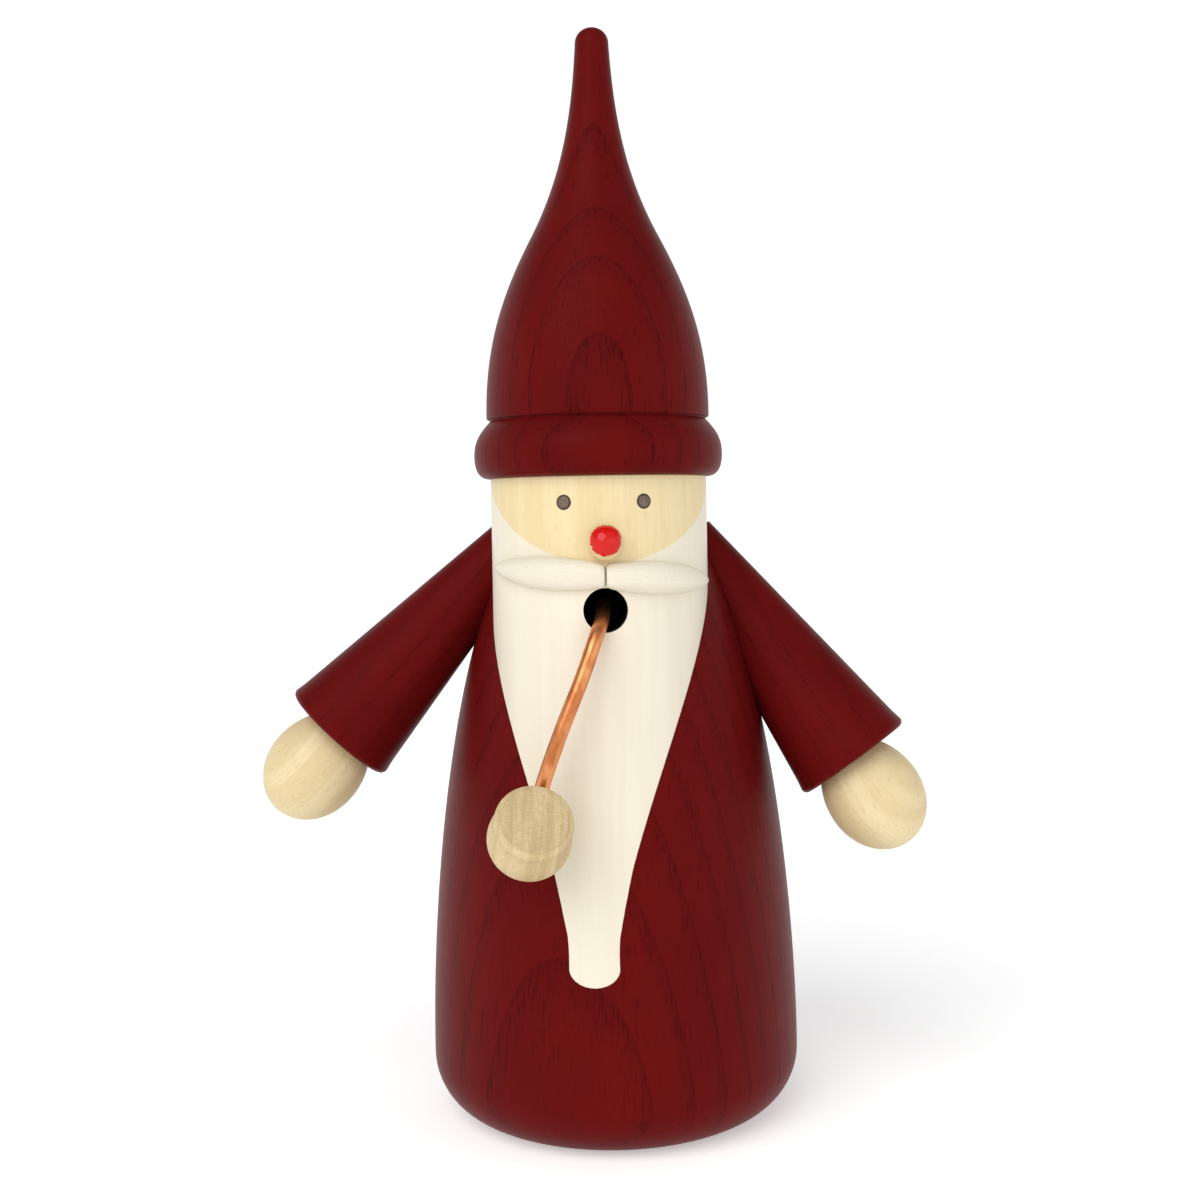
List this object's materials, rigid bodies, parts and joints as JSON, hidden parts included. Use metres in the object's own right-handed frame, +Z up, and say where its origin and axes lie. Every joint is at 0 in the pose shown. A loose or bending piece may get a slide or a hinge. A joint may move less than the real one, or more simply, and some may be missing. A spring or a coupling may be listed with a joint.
{
  "type": "gnome incense smoker figurine",
  "caption": "Free-standing turned wooden gnome with pointed hat, long beard, arms and wire pipe; hollow body lifts off a base plug with an incense dish.",
  "frame": {"origin": "centre of the flat underside, on the surface that the figure stands on", "axes": "+Z up, the face looks along -Y, +X towards the gnome's left hand"},
  "size_m": [0.0956, 0.0649, 0.1551],
  "materials": {
    "red_ash": "satin red stain over open-pored ash",
    "face_wood": "pale maple-like wood, matt clear lacquer, with the beard glazed white",
    "white_wood": "white glaze, matt",
    "lime_wood": "natural lime wood, silky",
    "nose_red": "glossy red lacquer on a wooden peg",
    "eye_brown": "dark stained peg, matt",
    "beech": "natural beech, sanded",
    "copper": "drawn copper wire, bright with light tarnish",
    "tinplate": "pressed tinplate, a little heat-stained"
  },
  "bodies": {
    "base": {"base_plug": "beech", "cone_dish": "tinplate", "dish_nail": "tinplate"},
    "figure": {"body": "red_ash", "head": "face_wood", "hat": "red_ash", "hat_dowel": "beech", "nose": "nose_red", "eye_right": "eye_brown", "eye_left": "eye_brown", "moustache_right": "white_wood", "moustache_left": "white_wood", "sleeve_right": "red_ash", "sleeve_left": "red_ash", "hand_right": "lime_wood", "hand_left": "lime_wood", "shoulder_dowel_right": "beech", "shoulder_dowel_left": "beech"},
    "pipe": {"pipe_stem": "copper", "pipe_bowl": "lime_wood"}
  },
  "joints": [
    {"name": "figure_lift", "type": "slide", "parent": "base", "child": "figure", "axis": [0, 0, 1], "range_m": [0, 0.06]},
    {"name": "pipe_swivel", "type": "hinge", "parent": "figure", "child": "pipe", "pos_m": [-0.00085, -0.02188, 0.07448], "axis": [0.0403, 0.9718, 0.2325], "range_deg": [-60, 40]}
  ]
}
